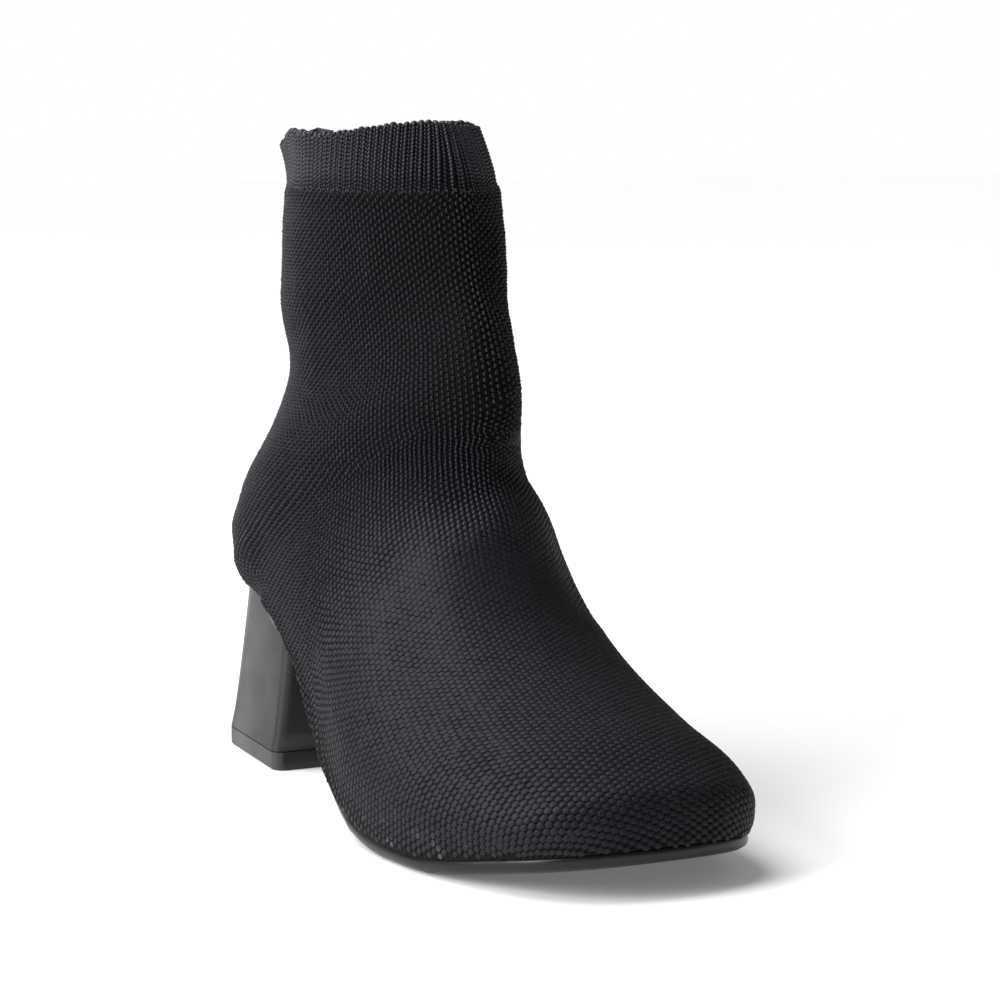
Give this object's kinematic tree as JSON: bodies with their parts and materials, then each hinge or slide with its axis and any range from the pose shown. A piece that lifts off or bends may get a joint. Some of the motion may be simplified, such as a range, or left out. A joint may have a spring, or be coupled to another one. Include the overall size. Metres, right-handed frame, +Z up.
{
  "type": "sweater boot",
  "caption": "Knitted ankle boot for the right foot, with a rib cuff, a thin outsole and a flared block heel.",
  "frame": {"origin": "middle of the heel tip's ground face", "axes": "+X to the toe, +Y to the wearer's left, which is the medial side, +Z up"},
  "size_m": [0.2314, 0.0911, 0.1972],
  "materials": {
    "black_knit": "matt knit",
    "dark_sole": "satin",
    "black_lining": "matt",
    "black_heel": "satin",
    "black_tip": "satin",
    "grey_tape": "smooth tape"
  },
  "bodies": {
    "root": {"upper": "black_knit", "outsole": "dark_sole", "insole": "black_lining", "heel": "black_heel", "heel_tip": "black_tip", "pull_tab": "grey_tape"}
  },
  "joints": []
}
